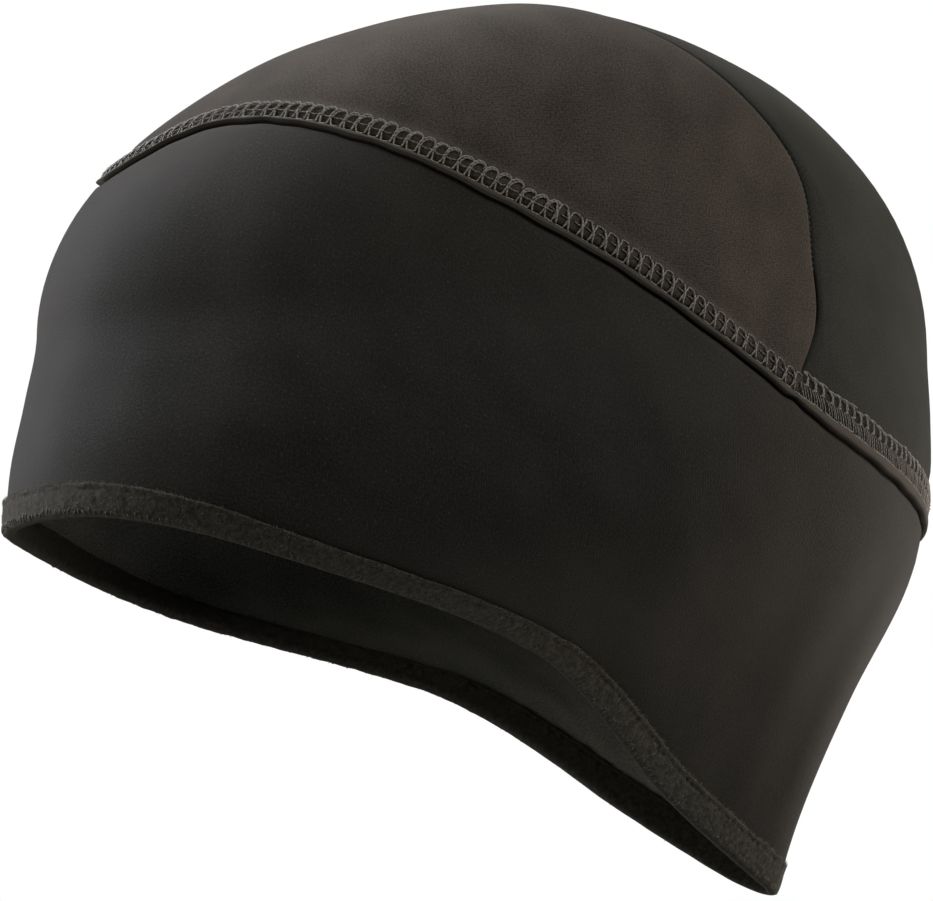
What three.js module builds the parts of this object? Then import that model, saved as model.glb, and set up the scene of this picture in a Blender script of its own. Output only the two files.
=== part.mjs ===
// A close-fitting winter sports cap, cut and sewn from stretch jersey, in the form it has when worn.
// Sizes are in millimetres and angles in degrees, with the brow at -Y, the wearer's left at +X and the
// crown up. The origin is where the top of a head touches the inside of the crown.

import * as THREE from 'three';

// Driving sizes of the cloth and its trims
const CLOTH = 1.6;
const GAP = 0.3;
const BINDING_WIDTH = 6.9;
const BINDING_THICKNESS = 1.0;
const RIBBON_THICKNESS = 0.9;
const RIBBON_WIDTH = { front: 4.8, rear: 5.6 };

// The dome above the widest level: its depth, and how full its curve is each way
const DOME = { depth: 70, sideFullness: 3.2, frontFullness: 1.86, backFullness: 2.1 };

// Plan sections from the widest level down to the nape. Drop is measured from the top of the crown.
// Pinch is the share by which the back narrows to a keel.
const SECTIONS = [
  { drop: 70, halfWidth: 76.5, front: 96.5, back: 100, pinch: 0.1 },
  { drop: 85, halfWidth: 78.5, front: 99, back: 100, pinch: 0.05 },
  { drop: 100, halfWidth: 78.5, front: 102, back: 100, pinch: 0.1 },
  { drop: 120, halfWidth: 70, front: 103, back: 96, pinch: 0.1 },
  { drop: 145, halfWidth: 36, front: 104, back: 84.5, pinch: 0.05 },
  { drop: 170, halfWidth: 18, front: 104, back: 73.5, pinch: 0 },
  { drop: 195, halfWidth: 15, front: 104, back: 64.5, pinch: 0 },
];

// Lower edge of the cap, by the angle turned from the brow round to the nape
const HEM = [
  { turn: 0, drop: 113.5 },
  { turn: 30, drop: 115 },
  { turn: 60, drop: 126 },
  { turn: 90, drop: 141 },
  { turn: 120, drop: 168.5 },
  { turn: 150, drop: 183.5 },
  { turn: 180, drop: 187.5 },
];

// Seam between the band and the crown, the same way
const SEAM = [
  { turn: 0, drop: 38 },
  { turn: 30, drop: 31 },
  { turn: 60, drop: 39 },
  { turn: 90, drop: 60.8 },
  { turn: 120, drop: 89.5 },
  { turn: 150, drop: 102.8 },
  { turn: 180, drop: 108.5 },
];

// Arch seam over the crown, by its lean from the top centre line down to its end at the side
const ARCH = [
  { over: 0, y: -20 },
  { over: 30, y: 9 },
  { over: 60, y: 49 },
  { over: 80, y: 53 },
  { over: 92, y: 53.5 },
  { over: 101, y: 48 },
];

// Forms near the seams: a distance from the seam or edge, and how far the cloth stands out there
const LIP = [
  { from: 0.3, out: 0.6 },
  { from: 0.7, out: 1.1 },
  { from: 1.2, out: 1.2 },
  { from: 1.7, out: 0.8 },
  { from: 2.3, out: -0.2 },
  { from: 4.5, out: -0.2 },
];
const UNDER_RIBBON = [
  { from: 0, out: -0.7 },
  { from: 6, out: -0.6 },
  { from: 11, out: 0 },
];
const FRONT_VALLEY = [
  { from: 0, out: -1.5 },
  { from: 3, out: -0.8 },
  { from: 9, out: 0 },
];
const BACK_VALLEY = [
  { from: 0, out: -1.5 },
  { from: 2.5, out: -0.4 },
  { from: 9, out: 0.9 },
  { from: 35, out: 0 },
];

// Half of the binding's fold, from the top edge of a leaf to the bottom of the fold
const FOLD = [
  { up: 6.9, out: 0.95 },
  { up: 6.2, out: 1.4 },
  { up: 5.2, out: 1.25 },
  { up: 3.0, out: 1.25 },
  { up: 0.7, out: 1.1 },
  { up: 0, out: -CLOTH / 2 },
];

// Steps of the meshes
const STATIONS = 72;
const CROWN_STATIONS = 24;
const HEM_ROWS = [BINDING_THICKNESS + GAP, 3.5, BINDING_WIDTH];
const BAND_ROWS = [0.12, 0.28, 0.46, 0.64, 0.82, 1];
const CROWN_ROWS = [0, 0.04, 0.09, 0.18, 0.29, 0.41, 0.53, 0.65, 0.76, 0.86, 0.93, 0.97, 1];
const BAND_TO_LIP = 9;
const PROBE = 0.01;

// Middle of the head, at the widest level
const MIDDLE = new THREE.Vector3(0, 0, CLOTH - DOME.depth);

// A smooth curve through a column of a table, level at its first row and, unless free, at its last
function smooth(rows, key, column, at, freeEnd = false) {
  const last = rows.length - 1;
  const value = THREE.MathUtils.clamp(at, rows[0][key], rows[last][key]);
  let i = 0;
  while (i < last - 1 && value > rows[i + 1][key]) i += 1;
  const slope = (k) => (rows[k + 1][column] - rows[k][column]) / (rows[k + 1][key] - rows[k][key]);
  const tangent = (k) => {
    if (k === 0) return 0;
    if (k === last) return freeEnd ? slope(last - 1) : 0;
    return (slope(k - 1) + slope(k)) / 2;
  };
  const span = rows[i + 1][key] - rows[i][key];
  const t = (value - rows[i][key]) / span;
  const s = 1 - t;
  return (1 + 2 * t) * s * s * rows[i][column] + t * s * s * span * tangent(i)
    + t * t * (3 - 2 * t) * rows[i + 1][column] - t * t * s * span * tangent(i + 1);
}

// Plan section at a height: its half-width, its reach to the front and back, and its pinch
function sectionAt(height) {
  const drop = CLOTH - height;
  if (drop >= DOME.depth) {
    const column = (name) => smooth(SECTIONS, 'drop', name, drop, true);
    return {
      halfWidth: column('halfWidth'),
      front: column('front'),
      back: column('back'),
      pinch: column('pinch'),
    };
  }
  const rise = 1 - Math.max(drop, 0) / DOME.depth;
  const dome = (reach, fullness) => reach * (1 - rise ** fullness) ** (1 / fullness);
  return {
    halfWidth: dome(SECTIONS[0].halfWidth, DOME.sideFullness),
    front: dome(SECTIONS[0].front, DOME.frontFullness),
    back: dome(SECTIONS[0].back, DOME.backFullness),
    pinch: SECTIONS[0].pinch,
  };
}

// Share of the half-width left at a share of the way to the nape
function backShare(along, pinch) {
  const round = Math.sqrt(1 - along * along);
  const keel = Math.sin((Math.PI / 2) * (1 - along));
  return THREE.MathUtils.lerp(round, keel, pinch);
}

// Outer face of the cloth at an angle turned from the brow and a height
function clothAt(turn, height) {
  const { halfWidth, front, back, pinch } = sectionAt(height);
  const angle = THREE.MathUtils.degToRad(turn);
  const along = Math.cos(angle);
  const side = Math.sin(angle);
  if (along >= 0) return new THREE.Vector3(halfWidth * side, -front * along, height);
  const across = Math.sign(side) * backShare(-along, pinch);
  return new THREE.Vector3(halfWidth * across, -back * along, height);
}

// Whether a point lies inside the outer face
function isInside(point) {
  if (point.z >= CLOTH) return false;
  const { halfWidth, front, back, pinch } = sectionAt(point.z);
  const along = Math.abs(point.y) / (point.y < 0 ? front : back);
  if (along >= 1) return false;
  const share = point.y < 0 ? Math.sqrt(1 - along * along) : backShare(along, pinch);
  return Math.abs(point.x) < halfWidth * share;
}

// Angle turned from the brow to a point of the cloth
function turnOf(point) {
  const { front, back } = sectionAt(point.z);
  const along = THREE.MathUtils.clamp(-point.y / (point.y < 0 ? front : back), -1, 1);
  return THREE.MathUtils.radToDeg(Math.acos(along)) * (point.x < 0 ? -1 : 1);
}

// Height of the hem or the band seam at an angle
function heightOn(line, turn) {
  const round = THREE.MathUtils.euclideanModulo(turn, 360);
  return CLOTH - smooth(line, 'turn', 'drop', Math.min(round, 360 - round));
}

// How turn and height change in one millimetre up the cloth, square to the hem or seam
function stepAcross(line, turn) {
  const height = heightOn(line, turn);
  const byTurn = clothAt(turn + PROBE, height).sub(clothAt(turn - PROBE, height));
  const byHeight = clothAt(turn, height + PROBE).sub(clothAt(turn, height - PROBE));
  byTurn.divideScalar(2 * PROBE);
  byHeight.divideScalar(2 * PROBE);
  const climb = (heightOn(line, turn + PROBE) - heightOn(line, turn - PROBE)) / (2 * PROBE);
  const lineway = byTurn.clone().addScaledVector(byHeight, climb);
  const turnPart = -byHeight.dot(lineway);
  const heightPart = byTurn.dot(lineway);
  const length = byTurn.multiplyScalar(turnPart).addScaledVector(byHeight, heightPart).length();
  return { height, climb, turn: turnPart / length, rise: heightPart / length };
}

// Place on the cloth a distance above the hem or seam
function placeBeside(line, turn, up) {
  const step = stepAcross(line, turn);
  return { turn: turn + step.turn * up, height: step.height + step.rise * up };
}

// Distance of a place on the cloth above the hem or seam
function distanceAbove(line, place) {
  const step = stepAcross(line, place.turn);
  return (place.height - step.height) / (step.rise - step.climb * step.turn);
}

// Point a distance out from the outer face, square to it
function pointOff({ turn, height }, out) {
  const byTurn = clothAt(turn + PROBE, height).sub(clothAt(turn - PROBE, height));
  const byHeight = clothAt(turn, height + PROBE).sub(clothAt(turn, height - PROBE));
  const outward = byTurn.cross(byHeight).normalize();
  return clothAt(turn, height).addScaledVector(outward, out);
}

// Closed body through a row of closed outlines, joined end to end or capped
function body(name, outlines, isRing, colour, roughness) {
  const count = outlines[0].length;
  const rows = outlines.length;
  const points = outlines.flat();
  const index = [];
  const quad = (a, b, c, d) => index.push(a, b, c, a, c, d);
  for (let i = 0; i < (isRing ? rows : rows - 1); i += 1) {
    for (let j = 0; j < count; j += 1) {
      const next = (j + 1) % count;
      const row = i * count;
      const nextRow = ((i + 1) % rows) * count;
      quad(row + j, nextRow + j, nextRow + next, row + next);
    }
  }
  for (let j = 0; !isRing && j < count / 2 - 1; j += 1) {
    const end = (rows - 1) * count;
    quad(j, j + 1, count - 2 - j, count - 1 - j);
    quad(end + count - 1 - j, end + count - 2 - j, end + j + 1, end + j);
  }
  let volume = 0;
  for (let k = 0; k < index.length; k += 3) {
    const [a, b, c] = index.slice(k, k + 3).map((i) => points[i]);
    volume += a.dot(b.clone().cross(c));
  }
  if (volume < 0) index.reverse();
  const geometry = new THREE.BufferGeometry().setFromPoints(points);
  geometry.setIndex(index);
  geometry.computeVertexNormals();
  const material = new THREE.MeshStandardMaterial({ color: colour, roughness, metalness: 0 });
  const mesh = new THREE.Mesh(geometry, material);
  mesh.name = name;
  return mesh;
}

// Lower panel round brow, ears and nape, with its top edge rolled into a lip
function makeBand() {
  const outlines = Array.from({ length: STATIONS }, (_, k) => {
    const turn = (360 * k) / STATIONS;
    const low = placeBeside(HEM, turn, BINDING_WIDTH);
    const high = placeBeside(SEAM, turn, -BAND_TO_LIP);
    const hem = HEM_ROWS.map((up) => ({ ...placeBeside(HEM, turn, up), out: 0 }));
    const rows = BAND_ROWS.map((t) => ({
      turn: THREE.MathUtils.lerp(low.turn, high.turn, t),
      height: THREE.MathUtils.lerp(low.height, high.height, t),
      out: 0,
    }));
    const lip = LIP.map(({ from, out }) => ({ ...placeBeside(SEAM, turn, -from), out }));
    const places = hem.concat(rows, lip.reverse());
    const outer = places.map((place) => pointOff(place, place.out));
    const inner = places.map((place) => pointOff(place, -CLOTH));
    return outer.concat(inner.reverse());
  });
  return body('band', outlines, true, '#201f1d', 0.85);
}

// Strip folded over the band's lower edge, outside and inside
function makeBinding() {
  const inside = ({ up, out }) => ({
    up: Math.max(up, BINDING_THICKNESS),
    out: up > 0 ? GAP : out,
  });
  const bothLeaves = (half) => {
    const mirrored = half.slice(0, -1).map(({ up, out }) => ({ up, out: -CLOTH - out }));
    return half.concat(mirrored.reverse());
  };
  const profile = bothLeaves(FOLD).concat(bothLeaves(FOLD.map(inside)).reverse());
  const outlines = Array.from({ length: STATIONS }, (_, k) => {
    const turn = (360 * k) / STATIONS;
    return profile.map(({ up, out }) => pointOff(placeBeside(HEM, turn, up), out));
  });
  return body('hem_binding', outlines, true, '#2b2a28', 1.0);
}

// Where a ray that starts inside the cap leaves the outer face
function leaveCloth(start, ray, reach) {
  let near = 0;
  let far = reach;
  while (far - near > 1e-7) {
    const half = (near + far) / 2;
    if (isInside(start.clone().addScaledVector(ray, half))) near = half;
    else far = half;
  }
  return start.clone().addScaledVector(ray, near);
}

// Point of the arch seam at a lean to the side, moved along the head by a distance
function archAt(over, shift) {
  const lean = THREE.MathUtils.degToRad(over);
  const y = smooth(ARCH, 'over', 'y', Math.abs(over), true) + shift;
  const spine = new THREE.Vector3(0, y, MIDDLE.z);
  const ray = new THREE.Vector3(Math.sin(lean), 0, Math.cos(lean));
  return leaveCloth(spine, ray, 2 * SECTIONS[0].halfWidth);
}

// Crown panel between a stretch of the band seam and the arch seam
function makeCrownPanel(name, turns, shift, valley, colour) {
  const end = ARCH[ARCH.length - 1].over;
  const faceAt = (s, t) => {
    const turn = THREE.MathUtils.lerp(turns.from, turns.to, s);
    const seam = clothAt(turn, heightOn(SEAM, turn));
    const arch = archAt(THREE.MathUtils.lerp(turns.leanFrom, turns.leanTo, s) * end, shift);
    return leaveCloth(MIDDLE, seam.lerp(arch, t).sub(MIDDLE), 3);
  };
  const outlines = Array.from({ length: CROWN_STATIONS + 1 }, (_, k) => {
    const s = k / CROWN_STATIONS;
    const depth = faceAt(s, 0).distanceTo(faceAt(s, 1));
    const skins = CROWN_ROWS.map((t) => {
      const point = faceAt(s, t);
      const byS = faceAt(s + PROBE / 10, t).sub(faceAt(s - PROBE / 10, t));
      const byT = faceAt(s, t + PROBE).sub(faceAt(s, t - PROBE));
      const outward = byS.cross(byT).normalize();
      if (outward.dot(point.clone().sub(MIDDLE)) < 0) outward.negate();
      const above = distanceAbove(SEAM, { turn: turnOf(point), height: point.z });
      const fold = smooth(valley, 'from', 'out', (1 - t) * depth);
      const swell = fold > 0 ? fold * THREE.MathUtils.smoothstep(above, 6, 20) : fold;
      const out = smooth(UNDER_RIBBON, 'from', 'out', above) + swell;
      return {
        outer: point.clone().addScaledVector(outward, out),
        inner: point.clone().addScaledVector(outward, out - CLOTH),
      };
    });
    return skins.map((skin) => skin.outer).concat(skins.map((skin) => skin.inner).reverse());
  });
  return body(name, outlines, false, colour, 0.9);
}

// Raised ribbon of seam thread along a stretch of the band seam
function makeRibbon(name, turns, width) {
  const stations = Math.round(((turns.to - turns.from) / 360) * STATIONS);
  const rows = [
    { up: GAP, out: 0.4 },
    { up: 0.25 * width, out: 1 },
    { up: 0.5 * width, out: 0.8 },
    { up: 0.78 * width, out: 1 },
    { up: width, out: 0.4 },
  ];
  const outlines = Array.from({ length: stations + 1 }, (_, k) => {
    const turn = THREE.MathUtils.lerp(turns.from, turns.to, k / stations);
    const under = (up) => smooth(UNDER_RIBBON, 'from', 'out', up) + GAP;
    const outer = rows.map(({ up, out }) => (
      pointOff(placeBeside(SEAM, turn, up), under(up) + out * RIBBON_THICKNESS)
    ));
    const inner = rows.map(({ up }) => pointOff(placeBeside(SEAM, turn, up), under(up)));
    return outer.concat(inner.reverse());
  });
  return body(name, outlines, false, '#53514d', 0.8);
}

// Turn at which the arch seam meets the band seam, and half the gap there as an angle
const JUNCTION = turnOf(archAt(ARCH[ARCH.length - 1].over, 0));
const HALF_GAP = THREE.MathUtils.radToDeg(GAP / SECTIONS[0].halfWidth) / 2;
const FRONT = { from: HALF_GAP - JUNCTION, to: JUNCTION - HALF_GAP, leanFrom: -1, leanTo: 1 };
const REAR = { from: JUNCTION + HALF_GAP, to: 360 - JUNCTION - HALF_GAP, leanFrom: 1, leanTo: -1 };

const cap = new THREE.Group();
cap.add(makeBand());
cap.add(makeBinding());
cap.add(makeCrownPanel('crown_front', FRONT, -GAP / 2, FRONT_VALLEY, '#37322e'));
cap.add(makeCrownPanel('crown_back', REAR, GAP / 2, BACK_VALLEY, '#353532'));
cap.add(makeRibbon('flatlock_front', FRONT, RIBBON_WIDTH.front));
cap.add(makeRibbon('flatlock_rear', REAR, RIBBON_WIDTH.rear));

export default cap;
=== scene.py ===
# %% [markdown]
# # A winter sports cap of stretch jersey
# This lesson dresses a plain model of a close-fitting cap, and ends by setting up a studio for it.
# The cap is cut and sewn: a tall band goes round the brow, the ears and the nape, a front and a
# back panel close the crown, a flat seam of raised thread joins them to the band, and a brushed
# strip binds the hem. It is held up as a head would hold it, so it keeps its worn form.
#
# The plain model is loaded first. It stays fixed, and every new piece is laid on it in the same
# frame, in metres, with the brow at -Y, the wearer's left at +X and the top of the crown at
# zero.
# %% Load the fixed frame
import math

import bpy
import numpy as np
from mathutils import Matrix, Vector


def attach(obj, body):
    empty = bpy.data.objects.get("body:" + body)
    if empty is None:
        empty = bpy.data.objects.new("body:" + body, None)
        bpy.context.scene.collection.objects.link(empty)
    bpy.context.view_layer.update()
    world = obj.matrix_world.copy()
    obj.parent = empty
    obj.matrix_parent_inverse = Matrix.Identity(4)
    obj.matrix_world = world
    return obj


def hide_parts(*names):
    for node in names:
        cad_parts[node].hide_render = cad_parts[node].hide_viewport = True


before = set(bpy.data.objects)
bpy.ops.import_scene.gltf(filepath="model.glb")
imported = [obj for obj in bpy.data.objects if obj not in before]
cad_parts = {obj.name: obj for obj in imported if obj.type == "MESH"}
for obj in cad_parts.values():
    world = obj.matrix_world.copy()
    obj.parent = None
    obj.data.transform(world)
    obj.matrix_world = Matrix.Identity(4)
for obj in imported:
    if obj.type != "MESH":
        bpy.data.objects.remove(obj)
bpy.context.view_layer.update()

MM = 0.001

# %% [markdown]
# ## The camera
# The picture is taken from the wearer's left, a little in front of the ear and from a little
# below, with a long lens, so that the near and far parts of the hem hardly differ in size. A
# long lens far away flattens the form just as the real picture does. The aim point is moved a
# few millimetres, instead of shifting the lens, so that the cap lies in the frame where it
# should.
# %% Place the camera
AZIMUTH, ELEVATION = math.radians(72), math.radians(-7.5)
DISTANCE = 1160 * MM
FRAME_WIDTH = 933
PIXELS_PER_MM = 4.64
SENSOR = 36
AIM_HEIGHT, AIM_RIGHT, AIM_UP = -92, -2.80, 0.86

backward = Vector((
    math.sin(AZIMUTH) * math.cos(ELEVATION),
    -math.cos(AZIMUTH) * math.cos(ELEVATION),
    math.sin(ELEVATION),
))
rightward = Vector((math.cos(AZIMUTH), math.sin(AZIMUTH), 0))
upward = backward.cross(rightward)
aim = Vector((0, 0, AIM_HEIGHT)) * MM + AIM_RIGHT * MM * rightward + AIM_UP * MM * upward

bpy.ops.object.select_all(action="DESELECT")
bpy.ops.object.camera_add(
    location=aim + DISTANCE * backward,
    rotation=(-backward).to_track_quat("-Z", "Y").to_euler(),
)
camera = bpy.context.object
camera.name = "Camera"
camera.data.sensor_width = SENSOR
camera.data.lens = PIXELS_PER_MM / MM * DISTANCE / FRAME_WIDTH * SENSOR
camera.data.clip_end = 20
bpy.context.scene.camera = camera
print("lens", round(camera.data.lens, 1), "mm, camera at", [round(x, 3) for x in camera.location])

# %% [markdown]
# ## The form of the worn cap
# Stretch cloth follows what it is stretched over, so the form is that of a head with a little
# shaping by the seams. It is described as the plain model describes it: a full dome down to the
# widest level, then plan sections that narrow towards the nape. A table gives the sections, and
# a smooth curve runs through each column, so a change of one number changes the form softly.
# %% Sizes and tables of the form, in millimetres and degrees
CLOTH = 1.6
BINDING_WIDTH = 6.9
DOME_DEPTH = 70
DOME_FULLNESS = {"half_width": 3.2, "front": 1.86, "back": 2.1}
SECTIONS = {
    "drop": [70, 85, 100, 120, 145, 170, 195],
    "half_width": [76.5, 78.5, 78.5, 70, 36, 18, 15],
    "front": [96.5, 99, 102, 103, 104, 104, 104],
    "back": [100, 100, 100, 96, 84.5, 73.5, 64.5],
    "pinch": [0.1, 0.05, 0.1, 0.1, 0.05, 0, 0],
}
HEM = {"turn": [0, 30, 60, 90, 120, 150, 180], "drop": [113.5, 115, 126, 141, 168.5, 183.5, 187.5]}
SEAM = {"turn": [0, 30, 60, 90, 120, 150, 180], "drop": [38, 31, 39, 60.8, 89.5, 102.8, 108.5]}
ARCH = {"over": [0, 30, 60, 80, 92, 101], "y": [-21.2, 7.4, 48.8, 53, 53.5, 48]}
MIDDLE = np.array([0, 0, CLOTH - DOME_DEPTH])
PROBE = 0.01


def smooth(keys, values, at, free_end=False):
    """A smooth curve through a table, level at its first row and, unless free, at its last."""
    keys, values = np.asarray(keys, float), np.asarray(values, float)
    slopes = np.diff(values) / np.diff(keys)
    last = [slopes[-1] if free_end else 0]
    tangents = np.concatenate([[0], (slopes[:-1] + slopes[1:]) / 2, last])
    at = np.clip(at, keys[0], keys[-1])
    i = np.clip(np.searchsorted(keys, at) - 1, 0, len(keys) - 2)
    span = keys[i + 1] - keys[i]
    t = (at - keys[i]) / span
    s = 1 - t
    near = (1 + 2 * t) * s * s * values[i] + t * s * s * span * tangents[i]
    far = t * t * (3 - 2 * t) * values[i + 1] - t * t * s * span * tangents[i + 1]
    return near + far


def section_at(height):
    """Half-width, reach to the front and back, and pinch of the plan section at a height."""
    drop = CLOTH - np.asarray(height, float)
    below = np.maximum(drop, DOME_DEPTH)
    rise = 1 - np.clip(drop, 0, DOME_DEPTH) / DOME_DEPTH
    found = []
    for column, fullness in DOME_FULLNESS.items():
        dome = SECTIONS[column][0] * (1 - rise**fullness) ** (1 / fullness)
        low = smooth(SECTIONS["drop"], SECTIONS[column], below, True)
        found.append(np.where(drop < DOME_DEPTH, dome, low))
    pinch = smooth(SECTIONS["drop"], SECTIONS["pinch"], below, True)
    return *found, pinch


def back_share(along, pinch):
    """Share of the half-width left at a share of the way to the nape."""
    rounded = np.sqrt(np.clip(1 - along * along, 0, 1))
    return rounded + (np.sin(np.pi / 2 * (1 - along)) - rounded) * pinch


def cloth_at(turn, height):
    """Outer face of the cloth at an angle turned from the brow and a height."""
    half_width, front, back, pinch = section_at(height)
    angle = np.radians(turn)
    along, side = np.cos(angle), np.sin(angle)
    across = np.where(along >= 0, side, np.sign(side) * back_share(np.abs(along), pinch))
    y = np.where(along >= 0, -front * along, -back * along)
    return np.stack([half_width * across, y, height + 0 * along], -1)


def height_on(line, turn):
    """Height of the hem or the band seam at an angle."""
    around = np.mod(turn, 360)
    return CLOTH - smooth(line["turn"], line["drop"], np.minimum(around, 360 - around))


widest = section_at(CLOTH - SECTIONS["drop"][1])
print("widest level", [round(float(x), 1) for x in widest[:3]])

# %% [markdown]
# Trims are placed by how far they lie above or below the hem or the seam, measured along the
# cloth. Two helpers do that: one walks along the cloth square to a line, and one steps out from
# the cloth, square to its face.
# %% Places beside a line, and points off the cloth


def directions(turn, height):
    """How the point moves as the turn and as the height grow."""
    by_turn = cloth_at(turn + PROBE, height) - cloth_at(turn - PROBE, height)
    by_height = cloth_at(turn, height + PROBE) - cloth_at(turn, height - PROBE)
    return by_turn / (2 * PROBE), by_height / (2 * PROBE)


def step_across(line, turn):
    """Height and climb of a line, and the turn and height gained in 1 mm square to it."""
    height = height_on(line, turn)
    by_turn, by_height = directions(turn, height)
    climb = (height_on(line, turn + PROBE) - height_on(line, turn - PROBE)) / (2 * PROBE)
    lineway = by_turn + by_height * climb[..., None]
    turn_part = -(by_height * lineway).sum(-1)
    height_part = (by_turn * lineway).sum(-1)
    step = by_turn * turn_part[..., None] + by_height * height_part[..., None]
    length = np.linalg.norm(step, axis=-1)
    return height, climb, turn_part / length, height_part / length


def place_beside(line, turn, up):
    """Turn and height of a place a distance above a line."""
    height, _, turn_step, rise = step_across(line, np.asarray(turn, float))
    return turn + turn_step * up, height + rise * up


def distance_above(line, turn, height):
    """Distance of a place above a line."""
    line_height, climb, turn_step, rise = step_across(line, turn)
    return (height - line_height) / (rise - climb * turn_step)


def point_off(turn, height, out):
    """Point a distance out from the cloth's outer face."""
    by_turn, by_height = directions(turn, height)
    outward = np.cross(by_turn, by_height)
    outward /= np.linalg.norm(outward, axis=-1, keepdims=True)
    return cloth_at(turn, height) + outward * np.asarray(out)[..., None]


def lengths_along(line, steps=1440):
    """Turns round the cap, and the length of a line from the brow to each of them."""
    turns = np.linspace(0, 360, steps + 1)
    points = cloth_at(turns, height_on(line, turns))
    lengths = np.linalg.norm(np.diff(points, axis=0), axis=1)
    return turns, np.concatenate([[0], np.cumsum(lengths)])


def turn_at(lengths, at):
    """Turn at a length along a line, which may run on past the brow."""
    laps = np.floor(at / lengths[-1])
    return np.interp(at - laps * lengths[-1], lengths, HEM_TURNS) + 360 * laps


HEM_TURNS, HEM_LENGTHS = lengths_along(HEM)
SEAM_TURNS, SEAM_LENGTHS = lengths_along(SEAM)
print("hem", round(HEM_LENGTHS[-1]), "mm round, seam", round(SEAM_LENGTHS[-1]), "mm round")

# %% [markdown]
# The seam over the crown is given as an arch: a lean from the top centre line down to the side,
# and how far towards the back it lies there. It is found on the form by a ray that leans that
# much. Where the arch meets the band seam, the sewing changes, so that turn is found here too.
# %% Find the arch
HALVINGS = 34
ARCH_RAY = 160


def is_inside(point):
    """Whether points lie within the cloth's outer face."""
    half_width, front, back, pinch = section_at(point[..., 2])
    y = point[..., 1]
    along = np.abs(y) / np.where(y < 0, front, back)
    kept = np.clip(along, 0, 1)
    share = np.where(y < 0, np.sqrt(1 - kept * kept), back_share(kept, pinch))
    return (point[..., 2] < CLOTH) & (along < 1) & (np.abs(point[..., 0]) < half_width * share)


def leave_cloth(start, ray, reach):
    """Where rays that start inside the cap leave its outer face."""
    near, far = np.zeros(ray.shape[:-1]), np.full(ray.shape[:-1], float(reach))
    for _ in range(HALVINGS):
        half = (near + far) / 2
        inside = is_inside(start + ray * half[..., None])
        near, far = np.where(inside, half, near), np.where(inside, far, half)
    return start + ray * near[..., None]


def arch_at(over, shift):
    """Point of the arch seam at a lean to the side, moved along the head by a distance."""
    lean = np.radians(over)
    y = smooth(ARCH["over"], ARCH["y"], np.abs(over), True) + shift
    spine = np.stack([0 * y, y, MIDDLE[2] + 0 * y], -1)
    return leave_cloth(spine, np.stack([np.sin(lean), 0 * lean, np.cos(lean)], -1), ARCH_RAY)


def turn_of(point):
    """Angle turned from the brow at which points of the outer face lie."""
    _, front, back, _ = section_at(point[..., 2])
    along = -point[..., 1] / np.where(point[..., 1] < 0, front, back)
    return np.degrees(np.arccos(np.clip(along, -1, 1))) * np.where(point[..., 0] < 0, -1, 1)


ARCH_END = ARCH["over"][-1]
JUNCTION = float(turn_of(arch_at(np.array(ARCH_END), 0)))
print("arch meets the band seam", round(JUNCTION, 1), "degrees from the brow")

# %% [markdown]
# ## How a cloth piece is made
# A real panel starts as a flat cut. So does each one here: a grid primitive is the cut, and each
# of its points is then moved to its place on the form. The grid goes over the outer face, round
# the edge and back along the inner face, and where its edges meet they are merged, so that the
# cloth has its real thickness and no open rim. Each point also keeps its place on the flat cut
# as a UV in metres, because knit lines follow the cloth. Marks tell the material where the
# brushed inside is, and where painted light makes the cloth paler and painted shade near black.
# %% Lay a flat cut on the form
WELD_WITHIN = 0.002
SHARP_FROM = 60
WAVE_PHASE = 7


def only_select(piece):
    """Select one piece alone, and make it the active one."""
    bpy.ops.object.select_all(action="DESELECT")
    piece.select_set(True)
    bpy.context.view_layer.objects.active = piece


def turn_outwards(piece, weld=False):
    """Turn all faces outwards, after merging the edges that meet and closing the ends if asked."""
    only_select(piece)
    bpy.ops.object.mode_set(mode="EDIT")
    bpy.ops.mesh.select_all(action="SELECT")
    if weld:
        bpy.ops.mesh.remove_doubles(threshold=WELD_WITHIN * MM)
        bpy.ops.mesh.fill_holes(sides=0)
        bpy.ops.mesh.select_all(action="SELECT")
    bpy.ops.mesh.normals_make_consistent(inside=False)
    bpy.ops.object.mode_set(mode="OBJECT")


def keep_cut(mesh, cut):
    """Keep each point's place on the cut, given in mm, as the UV map, in metres."""
    corner = np.empty(len(mesh.loops), int)
    mesh.loops.foreach_get("vertex_index", corner)
    mesh.uv_layers.active.data.foreach_set("uv", (cut[corner] * MM).ravel())


def lay_cut(name, points, cut, **marks):
    """A piece from a grid primitive, with points and places on the cut by column and row, in mm.

    Each mark is kept as an attribute, for the material.
    """
    columns, rows = points.shape[0] - 1, points.shape[1] - 1
    bpy.ops.object.select_all(action="DESELECT")
    bpy.ops.mesh.primitive_grid_add(x_subdivisions=columns, y_subdivisions=rows, size=1)
    piece = bpy.context.object
    piece.name = piece.data.name = name
    mesh = piece.data
    flat = np.empty(len(mesh.vertices) * 3)
    mesh.vertices.foreach_get("co", flat)
    flat = flat.reshape(-1, 3) + 0.5
    column = np.rint(flat[:, 0] * columns).astype(int)
    row = np.rint(flat[:, 1] * rows).astype(int)
    mesh.vertices.foreach_set("co", (points[column, row] * MM).ravel())
    keep_cut(mesh, cut[column, row])
    for key, values in marks.items():
        mark = mesh.attributes.new(key, "FLOAT", "POINT")
        mark.data.foreach_set("value", np.broadcast_to(values, points.shape[:2])[column, row])
    return piece


def close_cloth(piece):
    """Close a laid cloth all round and shade it smoothly."""
    turn_outwards(piece, weld=True)
    bpy.ops.object.shade_smooth_by_angle(angle=math.radians(SHARP_FROM))
    print(piece.name, len(piece.data.polygons), "faces")
    return piece


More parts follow.
